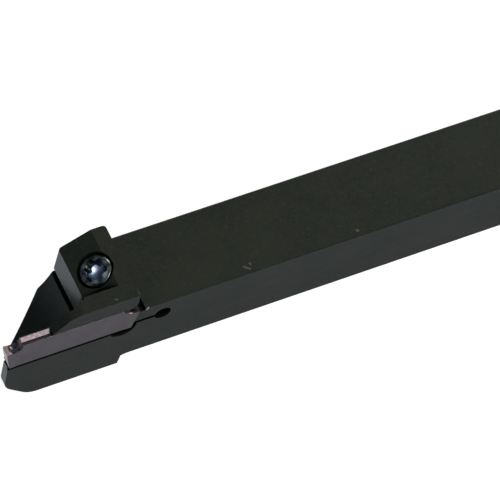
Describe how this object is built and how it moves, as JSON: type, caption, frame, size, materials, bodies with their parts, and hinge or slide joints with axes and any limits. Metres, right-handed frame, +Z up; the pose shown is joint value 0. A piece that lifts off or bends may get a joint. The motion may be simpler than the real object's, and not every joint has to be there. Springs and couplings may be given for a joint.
{
  "type": "cut-off toolholder",
  "caption": "Square-shank lathe toolholder for cutting off bar, with a spring upper jaw, a clamp screw and a double-ended insert in V guides.",
  "frame": {"origin": "centre of the shank's bottom face, halfway between the head's step and the rear end", "axes": "+X along the shank to the cutting edge, +Z up, +Y to the insert's side"},
  "size_m": [0.12, 0.0121, 0.0184],
  "materials": {
    "black_steel": "black oxide, satin",
    "coated_carbide": "thin bronze-violet coating on cemented carbide, satin",
    "screw_steel": "dark oiled steel, semi-gloss"
  },
  "bodies": {
    "holder": {"holder_body": "black_steel"},
    "insert": {"cutting_insert": "coated_carbide"},
    "screw": {"clamp_screw": "screw_steel"}
  },
  "joints": [
    {"name": "insert_slide", "type": "slide", "parent": "holder", "child": "insert", "axis": [1, 0, 0], "range_m": [0, 0.02]},
    {"name": "screw_turn", "type": "hinge", "parent": "holder", "child": "screw", "pos_m": [0.0536, -0.0004, 0.01544], "axis": [0.4695, 0, 0.8829], "range_deg": [0, 720]}
  ]
}
